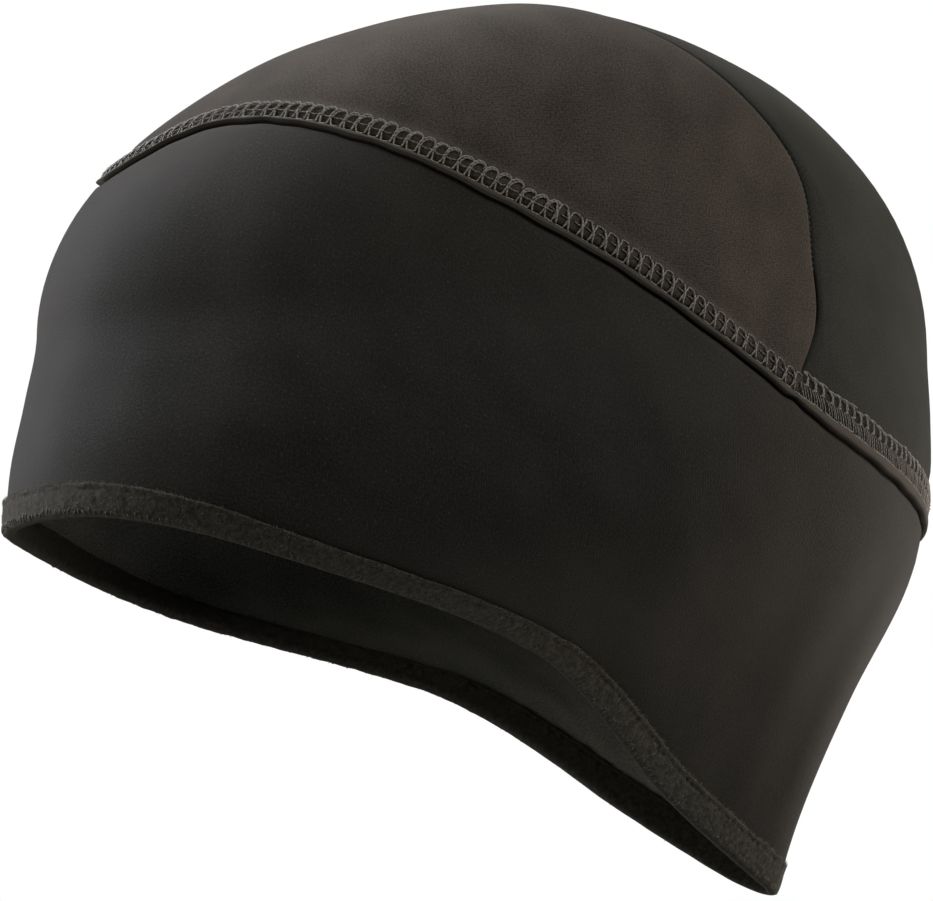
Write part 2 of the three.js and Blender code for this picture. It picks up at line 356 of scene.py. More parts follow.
def place_on_strip(points, along):
    """Places on the cut of a strip: along its line, and across it over all its folds."""
    across = np.linalg.norm(np.diff(points, axis=1), axis=2).cumsum(1)
    across = np.concatenate([np.zeros((len(points), 1)), across], 1)
    return np.stack([np.broadcast_to(along[:, None], across.shape), across], -1)


def wobble(share, *waves):
    """A gentle unevenness: the sum of waves given by height and how many go round."""
    return sum(height * np.sin(2 * np.pi * share * count + WAVE_PHASE * count)
               for height, count in waves)


# %% [markdown]
# ## The band
# The band is one long strip of smooth jersey. Its top edge is turned over under the seam into a
# small round lip, which throws a fine dark line on the cloth below. The lip's cross-section is a
# short table of points, each a distance below the seam and a distance out. The cloth tucks back
# under the lip, so the dark line is a real groove, and it is painted near black as painted shade.
# The lip is painted paler, partly as the turned cloth's brushed side and partly as painted light,
# and the cloth below it is painted a little paler as painted light, fading out to the band's
# middle.
# %% Make the band
# How much paler the band's top is painted under the lip: painted light.
BAND_TOP_PAINTED_LIGHT = 0.1
# Each part: how far painted paler (painted light) and how far near black (painted crease shade).
LIP_PARTS = [
    {"rolled": 0, "painted_crease_shade": 0, "rows": [(0.1, -0.75), (0, -0.15)]},
    {"rolled": 0.7, "painted_crease_shade": 0, "rows": [
        (0, 0.25), (0.15, 0.5), (0.45, 0.66), (0.85, 0.74), (1.2, 0.74), (1.42, 0.62),
        (1.52, 0.35), (1.52, 0)]},
    {"rolled": 0, "painted_crease_shade": 1, "rows": [
        (1.45, -0.45), (1.42, -0.95), (1.62, -1.3), (2.05, -1.2), (2.25, -0.75), (2.42, -0.32)]},
    {"rolled": BAND_TOP_PAINTED_LIGHT, "painted_crease_shade": 0, "rows": [(2.85, -0.15), (4.5, -0.1), (7, -0.05)]},
]
LIP = [(*row, part["rolled"], part["painted_crease_shade"]) for part in LIP_PARTS for row in part["rows"]]
LIP_WIDTH = 1.5
LIP_SIZE = {
    "turn": [0, 60, 90, 103, 112, 126, 180],
    "wide": [0.5, 0.6, 0.78, 0.68, 0.86, 1.3, 1.35],
    "high": [1, 1, 1, 0.95, 1, 1.2, 1.25],
}
BAND_TO_LIP = 9
LIP_WAVES = [(0.06, 53), (0.05, 35), (0.04, 16)]
NOTCH = {"depth": 0.45, "ahead": 1.2, "width": 1.1}
BAND_STATIONS = 480
BAND_ROWS = {"outside": 28, "inside": 14}
BAND_WAVES = [(0.22, 8), (0.15, 13), (0.1, 21)]
HEM_UPS = [1.2, 2.4, 3.6, 4.8, 5.9]
UNDER_SEAM = [0.2, 3, 6]


def band_places(turn, rows):
    """Turn, height and share of the way up, row by row, between the hem and the lip."""
    low = place_beside(HEM, turn, BINDING_WIDTH)
    high = place_beside(SEAM, turn, -BAND_TO_LIP)
    for t in np.linspace(0, 1, rows):
        yield low[0] + (high[0] - low[0]) * t, low[1] + (high[1] - low[1]) * t, t


def make_band():
    """The band from the hem up its outside, over the lip and down its inside."""
    turn = np.linspace(0, 360, BAND_STATIONS + 1)
    uneven = wobble(turn / 360, *BAND_WAVES)
    outer = [(*place_beside(HEM, turn, up), 0 * turn) for up in HEM_UPS]
    for row_turn, height, t in band_places(turn, BAND_ROWS["outside"]):
        outer.append((row_turn, height, uneven * np.sin(np.pi * t) ** 0.5))
    around = np.minimum(turn, 360 - turn)
    from_notch = (around - JUNCTION + NOTCH["ahead"]) / NOTCH["width"]
    notch = 1 - NOTCH["depth"] * np.exp(-(from_notch ** 2))
    wide = notch * smooth(LIP_SIZE["turn"], LIP_SIZE["wide"], around)
    wide += wobble(turn / 360, *LIP_WAVES)
    high = notch * smooth(LIP_SIZE["turn"], LIP_SIZE["high"], around)
    for below, out, _, _ in reversed(LIP):
        low = below + (wide - 1) * min(below, LIP_WIDTH)
        outer.append((*place_beside(SEAM, turn, -low), out * (high if out > 0 else 1)))
    inner = [(*place_beside(SEAM, turn, -below), -CLOTH + 0 * turn) for below in UNDER_SEAM]
    for row_turn, height, t in reversed(list(band_places(turn, BAND_ROWS["inside"]))):
        inner.append((row_turn, height, -CLOTH + uneven * np.sin(np.pi * t) ** 0.5))
    inner += [(*place_beside(HEM, turn, up), -CLOTH + 0 * turn) for up in reversed(HEM_UPS)]
    points = np.stack([point_off(*row) for row in outer + inner + outer[:1]], 1)
    # The band is painted paler from its middle up to the lip: painted light on its top.
    top_light_fade = [BAND_TOP_PAINTED_LIGHT * max(2 * t - 1, 0) for t in np.linspace(0, 1, BAND_ROWS["outside"])]
    below_lip, after = [0] * len(HEM_UPS), [0] * (len(inner) + 1)
    # The marks paint light and shade: a paler lip and band top, and a near-black crease.
    marks = {
        "lining": [0] * len(outer) + [1] * len(inner) + [0],
        "rolled": below_lip + top_light_fade + [rolled for _, _, rolled, _ in reversed(LIP)] + after,
        "painted_crease_shade": below_lip + [0] * len(top_light_fade) + [c for *_, c in reversed(LIP)] + after,
    }
    cut = place_on_strip(points, np.interp(turn, SEAM_TURNS, SEAM_LENGTHS))
    return close_cloth(lay_cut("band_cloth", points, cut, **marks))


band = make_band()

# %% [markdown]
# ## The crown panels
# The two crown panels meet edge to edge at an arch over the head. Each is a fan of lines from
# the band seam to the arch. Near the arch the cloth is drawn down by the seam, and the back
# panel lies a little lower, so the front one throws a thin shadow on it. Under the flat seam the
# cloth is raised a little, as the turned edges under it lift it.
# %% Lay the crown panels
UNDER_RIBBON = {
    "from": [0, 0.8, 2.4, 4.2, 5.6, 7, 11],
    "out": [-0.7, -0.1, 0.1, 0, -0.6, -0.45, 0],
}
FRONT_VALLEY = {"from": [0, 0.4, 1, 2.5, 6], "out": [-1.6, -0.85, -0.3, -0.06, 0]}
BACK_VALLEY = {"from": [0, 0.4, 1, 3, 9, 30], "out": [-2, -1.5, -0.95, -0.45, -0.12, 0]}
GAP = 0.02
HALF_GAP = math.degrees(GAP / SECTIONS["half_width"][0]) / 2
FRONT = {"turns": (HALF_GAP - JUNCTION, JUNCTION - HALF_GAP), "leans": (-1, 1)}
REAR = {"turns": (JUNCTION + HALF_GAP, 360 - JUNCTION - HALF_GAP), "leans": (1, -1)}
FAN_LINES, FAN_ROWS, FAN_STEPS = 300, 65, 161
FAN_RAY = 3
CROWN_WAVES = {"across": [(0.12, 1.7), (0.08, 3.2)], "along": [(0.12, 2), (0.08, 3.7)]}
WAVE_SPAN = 100
CALM_EDGE = 12


def crown_face(span, s, t, shift):
    """Points of a panel's outer face, a share s along its edges and t from seam to arch."""
    turn = span["turns"][0] + (span["turns"][1] - span["turns"][0]) * s
    lean = span["leans"][0] + (span["leans"][1] - span["leans"][0]) * s
    seam = cloth_at(turn, height_on(SEAM, turn))
    arch = arch_at(lean * ARCH_END, shift)
    ray = seam + (arch - seam) * t[..., None] - MIDDLE
    return leave_cloth(MIDDLE, ray, FAN_RAY)


def even_shares(span, shares, shift):
    """Shares of the fan lines that give rows eased along their real length."""
    s, t = np.meshgrid(shares, np.linspace(0, 1, FAN_STEPS), indexing="ij")
    steps = np.linalg.norm(np.diff(crown_face(span, s, t, shift), axis=1), axis=2).cumsum(1)
    run = np.concatenate([np.zeros((len(shares), 1)), steps], 1)
    eased = (1 - np.cos(np.linspace(0, np.pi, FAN_ROWS))) / 2
    return np.stack([np.interp(eased * r[-1], r, t[0]) for r in run])


def make_crown_panel(name, span, shift, valley):
    """A crown panel, outer face first and inner face back from the arch to the seam."""
    shares = np.linspace(0, 1, FAN_LINES + 1)
    t = even_shares(span, shares, shift)
    s = np.broadcast_to(shares[:, None], t.shape)
    face = crown_face(span, s, t, shift)
    depth = np.linalg.norm(face[:, :1] - face[:, -1:], axis=-1)
    nudge = PROBE / 10
    by_s = crown_face(span, s + nudge, t, shift) - crown_face(span, s - nudge, t, shift)
    by_t = crown_face(span, s, t + PROBE, shift) - crown_face(span, s, t - PROBE, shift)
    outward = np.cross(by_s, by_t)
    outward /= np.linalg.norm(outward, axis=-1, keepdims=True)
    outward *= np.where((outward * (face - MIDDLE)).sum(-1) < 0, -1, 1)[..., None]
    above = distance_above(SEAM, turn_of(face), face[..., 2])
    fold = smooth(valley["from"], valley["out"], (1 - t) * depth)
    uneven = wobble(face[..., 0] / WAVE_SPAN, *CROWN_WAVES["across"])
    uneven += wobble(face[..., 1] / WAVE_SPAN, *CROWN_WAVES["along"])
    uneven *= np.clip(np.minimum(above, (1 - t) * depth) / CALM_EDGE, 0, 1)
    out = smooth(UNDER_RIBBON["from"], UNDER_RIBBON["out"], above) + fold + uneven
    outer = face + outward * out[..., None]
    inner = (face + outward * (out - CLOTH)[..., None])[:, ::-2]
    points = np.concatenate([outer, inner, outer[:, :1]], 1)
    lean = np.arctan2(points[..., 0], points[..., 2] - MIDDLE[2])
    tip = np.arctan2(points[..., 1], np.hypot(points[..., 0], points[..., 2] - MIDDLE[2]))
    cut = np.stack([lean * DOME_DEPTH, tip * SECTIONS["front"][0]], -1)
    lining = np.array([0] * outer.shape[1] + [1] * inner.shape[1] + [0])
    return close_cloth(lay_cut(name, points, cut, lining=lining))


crown_front = make_crown_panel("crown_front_cloth", FRONT, -GAP / 2, FRONT_VALLEY)
crown_back = make_crown_panel("crown_back_cloth", REAR, GAP / 2, BACK_VALLEY)

# %% [markdown]
# ## The hem binding
# A strip of brushed knit is folded over the raw hem, one leaf outside and one inside, and sewn
# through. Its cross-section is half a fold, mirrored about the middle of the band's cloth, with
# a hollow that the band's edge lies in. The outside leaf has a thin raised rim at its top, with
# a row of needle holes just below. The holes are real dimples, pressed into the strip at every
# stitch, shallower at the brow. Only rows of the fold that stand far enough out have holes or
# nap. At the nape the strip is pulled flat.
# %% Make the binding
FOLD = [
    (6.2, 0.15), (6.75, 0.18), (7, 0.32), (7.08, 0.5), (7, 0.68), (6.78, 0.8), (6.5, 0.84),
    (6.2, 0.8), (5.95, 0.76), (5.7, 0.75), (5.45, 0.77), (5.2, 0.8), (4.8, 0.82), (4.1, 0.85),
    (3.4, 0.85), (2.7, 0.83), (2.1, 0.8), (1.6, 0.77), (1.1, 0.71), (0.6, 0.56), (0.2, 0.22),
    (0, -0.25), (-0.05, -0.8),
]
HOLE_PITCH = 1.7
HOLE_UP = 5.9
HOLE_RADIUS = 0.36
HOLE_DEPTH = 0.25
HOLE_SHARE = {"turn": (60, 110), "deep": (0.4, 1)}
HOLE_DRIFT = [(0.25, 41), (0.2, 97), (0.15, 139)]
HOLE_CHANGE = [(0.4, 23), (0.45, 61), (0.4, 113)]
EDGE_WAVES = [(0.12, 29), (0.1, 67), (0.08, 17)]
EDGE_SHARE = {"rim": 0.6, "leaf": 0.2}
NAP_RELIEF = 0.15
NAP_SIZE = 3
RIM_FROM = 6.5
HOLED_BEYOND, NAPPED_BEYOND, FLATTENED_BEYOND = 0.6, 0.4, 0.2
HOLLOW = [(6, -CLOTH - 0.1), (0.6, -CLOTH - 0.1), (0.6, 0.1), (6, 0.1)]
NAPE_FLATNESS, NAPE_SPREAD = 0.4, 12
BINDING_STATIONS = 1056
SEED = 11
chance = np.random.default_rng(SEED)


def soft_noise(columns, rows, size):
    """Smooth unevenness from -1 to 1 that joins up at both ends of the strip."""
    knots = chance.normal(size=(columns // size, rows // 2 + 2))
    knots = np.concatenate([knots, knots[:1]])
    at = np.linspace(0, len(knots) - 1, columns + 1)
    stretched = np.stack([np.interp(at, np.arange(len(knots)), k) for k in knots.T], 1)
    at = np.linspace(0, stretched.shape[1] - 1, rows)
    return np.stack([np.interp(at, np.arange(stretched.shape[1]), k) for k in stretched]) / 2


def flatness(turn):
    """Share of its thickness that the strip keeps at an angle."""
    return 1 - NAPE_FLATNESS * np.exp(-((180 - np.mod(turn, 360)) / NAPE_SPREAD) ** 2)


def make_binding():
    """The folded strip: its outside leaf, its inside leaf and the hollow between them."""
    whole = HEM_LENGTHS[-1]
    turn = np.interp(np.linspace(0, whole, BINDING_STATIONS + 1), HEM_LENGTHS, HEM_TURNS)
    along = np.interp(turn, HEM_TURNS, HEM_LENGTHS)
    share = along / whole
    pitch = whole / round(whole / HOLE_PITCH)
    drift = wobble(share, *HOLE_DRIFT)
    to_hole = ((along + drift) / pitch + 0.5) % 1 * pitch - pitch / 2
    deep = HOLE_DEPTH * (1 + wobble(share, *HOLE_CHANGE))
    deep *= np.interp(np.minimum(turn, 360 - turn), HOLE_SHARE["turn"], HOLE_SHARE["deep"])
    ripple = wobble(share, *EDGE_WAVES)
    nap = soft_noise(BINDING_STATIONS, len(FOLD), NAP_SIZE) * NAP_RELIEF
    flat = flatness(turn)
    outer, inner = [], []
    for k, (up, out) in enumerate(FOLD):
        near = (to_hole**2 + (up - HOLE_UP) ** 2) / HOLE_RADIUS**2
        dent = deep * np.exp(-near) if out > HOLED_BEYOND else 0
        rough = nap[:, k] if out > NAPPED_BEYOND else 0
        out = out * flat if out > FLATTENED_BEYOND else out + 0 * flat
        lift = ripple * EDGE_SHARE["rim" if up > RIM_FROM else "leaf"]
        place = place_beside(HEM, turn, up + lift)
        outer.append((*place, out - dent + rough))
        inner.append((*place, -CLOTH - out + dent - rough))
    hollow = [(*place_beside(HEM, turn, up), out + 0 * turn) for up, out in HOLLOW]
    rows = outer + inner[-2::-1] + hollow + outer[:1]
    points = np.stack([point_off(*row) for row in rows], 1)
    under = sum(out < 0 for _, out in FOLD)
    lining = [0] * (len(outer) - under) + [1] * (under + len(inner) - 1) + [0] * (len(hollow) + 1)
    cut = place_on_strip(points, along)
    return close_cloth(lay_cut("binding_strip", points, cut, lining=lining))


binding = make_binding()

# %% [markdown]
# ## Thread
# All the stitches are lengths of one soft thread. One length is modelled once: a small ring of
# five corners is extruded step by step along a line. Each stitch is then a copy of it, bent
# along its own path and thinned at its two ends. A path is a few points, each with a place along
# the seam, above it and out from the cloth, so a stitch pattern is a short table that is
# repeated at its pitch.
# %% Model one length of thread, and bend copies of it
THREAD_STEPS = 7
THREAD_SIDES = 5
THREAD_END = 0.6


def make_thread_length():
    """A straight tube of radius 1 and length 1 along Z, by extruding a ring."""
    bpy.ops.object.select_all(action="DESELECT")
    bpy.ops.mesh.primitive_circle_add(vertices=THREAD_SIDES, radius=1, fill_type="NGON")
    tube = bpy.context.object
    bpy.ops.object.mode_set(mode="EDIT")
    for _ in range(THREAD_STEPS):
        bpy.ops.mesh.extrude_region_move(
            TRANSFORM_OT_translate={"value": (0, 0, 1 / THREAD_STEPS)}
        )
    bpy.ops.mesh.select_all(action="SELECT")
    bpy.ops.mesh.normals_make_consistent(inside=False)
    bpy.ops.object.mode_set(mode="OBJECT")
    corners = np.array([v.co for v in tube.data.vertices])
    faces = sorted(list(face.vertices) for face in tube.data.polygons)
    bpy.data.objects.remove(tube)
    return corners, faces


THREAD, THREAD_FACES = make_thread_length()


def through(path, at):
    """Points of a smooth curve through a path of points, at shares of its length."""
    path = np.asarray(path, float)
    padded = np.concatenate([[2 * path[0] - path[1]], path, [2 * path[-1] - path[-2]]])
    place = np.clip(at, 0, 1) * (len(path) - 1)
    i = np.minimum(place.astype(int), len(path) - 2)
    t = (place - i)[:, None]
    a, b, c, d = (padded[i + k] for k in range(4))
    return (2 * b + (c - a) * t + (2 * a - 5 * b + 4 * c - d) * t**2
            + (3 * b - a - 3 * c + d) * t**3) / 2


def join_copies(name, points, faces):
    """A piece of many small closed shapes, from all their corners in mm and all their faces."""
    mesh = bpy.data.meshes.new(name)
    mesh.from_pydata((points.reshape(-1, 3) * MM).tolist(), [], faces)
    piece = bpy.data.objects.new(name, mesh)
    bpy.context.scene.collection.objects.link(piece)
    turn_outwards(piece)
    return piece


def sew(name, paths, radius, place):
    """A piece of all the stitches: place turns points along, above and out into points on the cap.

    The radius is one number, or one for each path.
    """
    radius = np.broadcast_to(radius, len(paths))
    share, ring = THREAD[:, 2], THREAD[:, :2]
    steps = np.linspace(0, 1, THREAD_STEPS + 1)
    centres = place(np.concatenate([through(path, steps) for path in paths]))
    centres = centres.reshape(len(paths), -1, 3)
    tangents = np.gradient(centres, axis=1)
    tangents /= np.linalg.norm(tangents, axis=-1, keepdims=True)
    outward = centres - MIDDLE
    sideways = np.cross(tangents, outward)
    sideways /= np.linalg.norm(sideways, axis=-1, keepdims=True)
    outward = np.cross(sideways, tangents)
    k = np.rint(share * THREAD_STEPS).astype(int)
    taper = np.where((k == 0) | (k == THREAD_STEPS), THREAD_END, 1)[None, :, None]
    taper = taper * radius[:, None, None]
    points = centres[:, k] + taper * (
        sideways[:, k] * ring[None, :, :1] + outward[:, k] * ring[None, :, 1:]
    )
    count = len(THREAD)
    faces = [[v + count * n for v in face] for n in range(len(paths)) for face in THREAD_FACES]
    piece = join_copies(name, points, faces)
    lengths = np.linalg.norm(np.diff(centres, axis=1), axis=-1).sum(1)
    along = (share[None] * lengths[:, None]).ravel()
    around = (np.arctan2(ring[:, 1], ring[:, 0])[None] * radius[:, None]).ravel()
    piece.data.uv_layers.new(name="UVMap")
    keep_cut(piece.data, np.stack([along, around], -1))
    bpy.ops.object.shade_smooth()
    print(name, len(paths), "lengths of thread,", len(faces), "faces")
    return piece


# %% [markdown]
# ## The flat seam
# A flatlock machine lays loops over the butted edges. At the brow the loops are open: each rises
# from a knot, rolls over and hooks behind the next, and two legs spread below the knot. Towards
# the ear the thread is pulled tighter, so the loops close to crossed strands. Behind the arch
# seam it is denser still: hooks above, and three slanting strands for each hook below. A little
# chance in every stitch keeps the rows from looking printed.
# %% Sew the flat seam
FRONT_PITCH, REAR_PITCH = 2.85, 2.7
THREAD_RADIUS = 0.2
LOOPED = [
    (1, [(-0.04, 1.5, 0.4), (0.04, 2.6, 0.6), (0.26, 3.6, 0.6), (0.6, 4.2, 0.5),
         (0.93, 4.12, 0.35), (1.08, 3.6, 0.2), (1.03, 2.9, 0.1)]),
    (0.9, [(0.1, 1.5, 0.5), (0.19, 2.6, 0.6), (0.4, 3.4, 0.55), (0.66, 3.85, 0.4),
           (0.95, 3.8, 0.25)]),
    (1, [(0.03, 1.95, 0.6), (-0.07, 1.2, 0.5), (-0.21, -0.05, 0.55)]),
    (0.9, [(0.04, 1.95, 0.55), (0.12, 1.1, 0.5), (0.19, -0.1, 0.55)]),
    (0.8, [(-0.1, 1.85, 0.55), (0.03, 1.7, 0.8), (0.18, 1.85, 0.6)]),
    (0.6, [(0.12, 2, 0.1), (0.5, 1.8, 0.3), (0.92, 2.05, 0.1)]),
    (0.8, [(0.19, -0.05, 0.6), (0.5, -0.15, 0.65), (0.79, 0, 0.6)]),
]
CROSSED = [
    (1, [(-0.23, 4, 0.3), (-0.1, 3.1, 0.55), (0.01, 2.1, 0.75), (0.1, 1.2, 0.55),
         (0.21, -0.05, 0.5)]),
    (1, [(0.2, 4.1, 0.3), (0.09, 3.1, 0.5), (-0.01, 2.2, 0.45), (-0.1, 1.2, 0.5),
         (-0.21, 0, 0.5)]),
    (0.7, [(-0.12, 3.7, 0.2), (-0.01, 2.9, 0.6), (0.06, 2.2, 0.6), (0.02, 1.4, 0.6),
           (-0.1, 0.6, 0.3)]),
    (0.65, [(0.2, 4.05, 0.25), (0.5, 4.22, 0.35), (0.77, 4, 0.25)]),
    (0.6, [(-0.62, 2.6, -0.05), (-0.35, 2.45, 0.2), (0, 2.25, 0.4)]),
    (0.7, [(0.21, -0.05, 0.55), (0.5, -0.15, 0.6), (0.79, 0, 0.55)]),
]
LADDER = [
    (0.9, [(0, 5.2, 0.35), (0.5, 5.35, 0.45), (1.05, 5.15, 0.35)]),
    (1.1, [(0, 5.2, 0.3), (0.36, 5.1, 0.5), (0.6, 4.55, 0.6), (0.74, 3.6, 0.55),
           (0.68, 2.75, 0.4)]),
    (0.8, [(0.1, 5.05, 0.2), (0.4, 4.85, 0.4), (0.54, 4.4, 0.5), (0.64, 3.6, 0.45),
           (0.58, 2.85, 0.4)]),
    (1.2, [(0.4, 2.55, 0.4), (0.62, 2.75, 0.75), (0.86, 2.95, 0.4)]),
    (0.8, [(0, 2.75, 0.3), (0.25, 1.9, 0.5), (0.55, 1, 0.5), (0.8, 0.05, 0.55)]),
    (0.8, [(0.33, 2.75, 0.3), (0.58, 1.9, 0.5), (0.88, 1, 0.5), (1.13, 0.05, 0.55)]),
    (0.8, [(0.67, 2.75, 0.3), (0.92, 1.9, 0.5), (1.22, 1, 0.5), (1.47, 0.05, 0.55)]),
    (0.9, [(0.1, 0, 0.6), (0.6, -0.1, 0.65), (1.1, 0, 0.6)]),
]
CROSSED_FROM = 117
LEAN, LEAN_ABOUT = 0.2, 2
DENSE_BEFORE = 3.5
OVERLAP = 0.5
SEAM_CLEAR, SEAM_RISE, SEAM_SINK = 0.12, 0.68, -0.1
UNEVEN = {"shift": (0.1, 0.07), "tall": 0.03, "slack": 0.07, "thick": (0.85, 1.1)}
SLACK_SHARES = (1, 1, 0.6)


def on_seam(points):
    """Points by length along the seam, distance above it and distance out."""
    turn = turn_at(SEAM_LENGTHS, points[:, 0])
    up = points[:, 1]
    under = np.maximum(smooth(UNDER_RIBBON["from"], UNDER_RIBBON["out"], up), SEAM_SINK)
    out = under + SEAM_CLEAR + SEAM_RISE * points[:, 2]
    return point_off(*place_beside(SEAM, turn, up), out)


def repeat_stitch(start, end, pitch, choose):
    """Paths and thicknesses of a row of stitches, each of the kind that choose gives there."""
    count = round((end - start) / pitch)
    pitch = (end - start) / count
    paths, shares = [], []
    for n in range(count):
        at = start + (n + 0.5) * pitch
        shift = chance.normal(0, UNEVEN["shift"])
        tall = chance.normal(1, UNEVEN["tall"])
        for share, path in choose(at):
            slack = chance.normal(0, UNEVEN["slack"], (len(path), 3)) * SLACK_SHARES
            moved = [(at + a * pitch + shift[0], up * tall + shift[1], out) for a, up, out in path]
            paths.append(np.array(moved) + slack)
            shares.append(share * chance.uniform(*UNEVEN["thick"]))
    return paths, np.array(shares)


def front_kind(at):
    """Loops at the brow, and crossed strands that lean with the seam towards the ear."""
    lean = LEAN * min(abs(at) / junction_at, 1) * (1 if at > 0 else -1) / FRONT_PITCH
    kind = CROSSED if abs(at) > CROSSED_FROM else LOOPED
    return [(share, [(a + lean * (LEAN_ABOUT - up), up, out) for a, up, out in path])
            for share, path in kind]


junction_at = float(np.interp(JUNCTION, SEAM_TURNS, SEAM_LENGTHS)) - DENSE_BEFORE
seam_whole = float(SEAM_LENGTHS[-1])
paths, shares = repeat_stitch(
    -junction_at - OVERLAP, junction_at + OVERLAP, FRONT_PITCH, front_kind
)
seam_front = sew("flatlock_front_threads", paths, shares * THREAD_RADIUS, on_seam)
paths, shares = repeat_stitch(
    junction_at - OVERLAP, seam_whole - junction_at + OVERLAP, REAR_PITCH, lambda at: LADDER
)
seam_rear = sew("flatlock_rear_threads", paths, shares * THREAD_RADIUS, on_seam)

# %% [markdown]
# ## The stitches of the arch and of the hem
# The arch seam is closed from inside, so only small dark bights of thread show, one after the
# other in the valley between the panels. They stop short of the flat seam, where the line fades.
# The hem is sewn through both leaves of the binding. Its stitches show as a row of small teeth
# near the lower edge, at the brow most of all, and elsewhere they sink into the nap.
# %% Sew the arch and the hem
ARCH_STEPS = 2001
ARCH_PITCH, ARCH_MARGIN = 1.25, 6
ARCH_DEPTH_CHANCE = 0.06
ARCH_RADIUS = 0.19
BIGHT = [(-0.6, -0.45, -0.95), (0, -0.05, -0.75), (0.5, 0.3, -1.3)]
STITCHED_TO = 82
TOOTH_PITCH, TOOTH_RADIUS = 1.45, 0.18
TOOTH_LOW, TOOTH_TOP = (0.6, 0.15), (1.9, 0.45)
TOOTH_OUTS = (0.5, 0.84, 0.68)
TOOTH_SHIFT, TOOTH_LEAN = 0.12, 0.2
TOOTH_SUNK = {"deep": 0.2, "from": 35, "over": 30}


def on_arch(points):
    """Points by lean in degrees, distance to the back and distance out."""
    base = arch_at(points[:, 0], points[:, 1])
    outward = base - MIDDLE
    outward /= np.linalg.norm(outward, axis=-1, keepdims=True)
    return base + outward * points[:, 2:]


def arch_paths():
    """Bights of thread along the arch, as far down its arms as its stitches show."""
    leans = np.linspace(-ARCH_END, ARCH_END, ARCH_STEPS)
    line = arch_at(leans, 0)
    run = np.concatenate([[0], np.linalg.norm(np.diff(line, axis=0), axis=1).cumsum()])
    paths = []
    for at in np.arange(ARCH_MARGIN, run[-1] - ARCH_MARGIN, ARCH_PITCH):
        lean = np.interp(at, run, leans)
        if abs(lean) > STITCHED_TO:
            continue
        lean_step = 0.5 * np.interp(at + 0.5, run, leans) - 0.5 * np.interp(at - 0.5, run, leans)
        depth = chance.normal(0, ARCH_DEPTH_CHANCE)
        paths.append([(lean + lean_step * a, back, out + depth) for a, back, out in BIGHT])
    print("arch seam", round(run[-1]), "mm long")
    return paths


def on_hem(points):
    """Points by length along the hem, distance above it and distance out."""
    turn = turn_at(HEM_LENGTHS, points[:, 0])
    return point_off(*place_beside(HEM, turn, points[:, 1]), points[:, 2] * flatness(turn))


def hem_paths():
    """Small teeth round the hem, which sink into the nap away from the brow."""
    whole = HEM_LENGTHS[-1]
    count = round(whole / TOOTH_PITCH)
    paths = []
    for n in range(count):
        at = (n + 0.5 + chance.normal(0, TOOTH_SHIFT)) * whole / count
        lean = chance.normal(0, TOOTH_LEAN)
        low, top = chance.normal(*TOOTH_LOW), chance.normal(*TOOTH_TOP)
        from_brow = min(at, whole - at) - TOOTH_SUNK["from"]
        sunk = TOOTH_SUNK["deep"] * np.clip(from_brow / TOOTH_SUNK["over"], 0, 1)
        places = [(at - lean, low), (at, (low + top) / 2), (at + lean, top)]
        paths.append([(*place, out - sunk) for place, out in zip(places, TOOTH_OUTS)])
    return paths


arch_threads = sew("arch_stitches", arch_paths(), ARCH_RADIUS, on_arch)
hem_threads = sew("hem_stitches", hem_paths(), TOOTH_RADIUS, on_hem)

# %% [markdown]
# ## Nap on the binding
# Brushing pulls short fibres out of the binding, and they catch the light along its rim; their
# pale colour is a painted highlight. Each fibre is a thin three-sided spike with a bend, closed at
# its foot, and stood on the strip at random. Rather more than half of them stand on the rim, and
# those lean up and are a little longer.
# %% Raise the nap
FIBRE_COUNT = 7000
FIBRE_RADIUS, FIBRE_WAIST = 0.055, 0.8
FIBRE_LENGTH = (0.2, 0.5)
FIBRE_LEAN, RIM_LEAN = 0.28, 0.35
FIBRE_BEND = {"up": 0.05, "out": 0.08}
ROOT_DEPTH = 0.08
ON_RIM = 0.55
RIM_UP, LEAF_UP = (6.85, 0.16), (0.2, 6.4)
RIM_REACH, LEAF_REACH = 0.7, 0.6
CORNER_ANGLES = (0, 2.09, 4.19)
SPIKE = [(2, 1, 0), (0, 1, 4, 3), (1, 2, 5, 4), (2, 0, 3, 5), (3, 4, 6), (4, 5, 6), (5, 3, 6)]
SPIKE_POINTS = 7


def raise_nap():
    """Short bent fibres, rooted at random in the outside leaf and its rim."""
    at = chance.uniform(0, HEM_LENGTHS[-1], FIBRE_COUNT)
    on_rim = chance.random(FIBRE_COUNT) < ON_RIM
    rim_up = chance.normal(*RIM_UP, FIBRE_COUNT)
    up = np.where(on_rim, rim_up, chance.uniform(*LEAF_UP, FIBRE_COUNT))
    face = FOLD[:3:-1]
    out = np.interp(up, [row[0] for row in face], [row[1] for row in face]) - ROOT_DEPTH
    foot = np.stack([at, up, out], -1)
    lean = chance.normal(0, FIBRE_LEAN, (FIBRE_COUNT, 2))
    reach = chance.uniform(*FIBRE_LENGTH, FIBRE_COUNT) * np.where(on_rim, RIM_REACH, LEAF_REACH)
    tip = foot + np.stack([lean[:, 0], lean[:, 1] + RIM_LEAN * on_rim, reach], -1)
    bend = (foot + tip) / 2 + np.array([0, FIBRE_BEND["up"], FIBRE_BEND["out"]])
    sides = [FIBRE_RADIUS * np.array([math.cos(a), math.sin(a), 0]) for a in CORNER_ANGLES]
    corners = [foot + side for side in sides]
    corners += [bend + FIBRE_WAIST * side for side in sides] + [tip]
    points = np.stack([on_hem(corner) for corner in corners], 1)
    starts = range(0, SPIKE_POINTS * FIBRE_COUNT, SPIKE_POINTS)
    faces = [[start + v for v in face] for start in starts for face in SPIKE]
    print("binding_nap", FIBRE_COUNT, "fibres")
    return join_copies("binding_nap", points, faces)


nap = raise_nap()

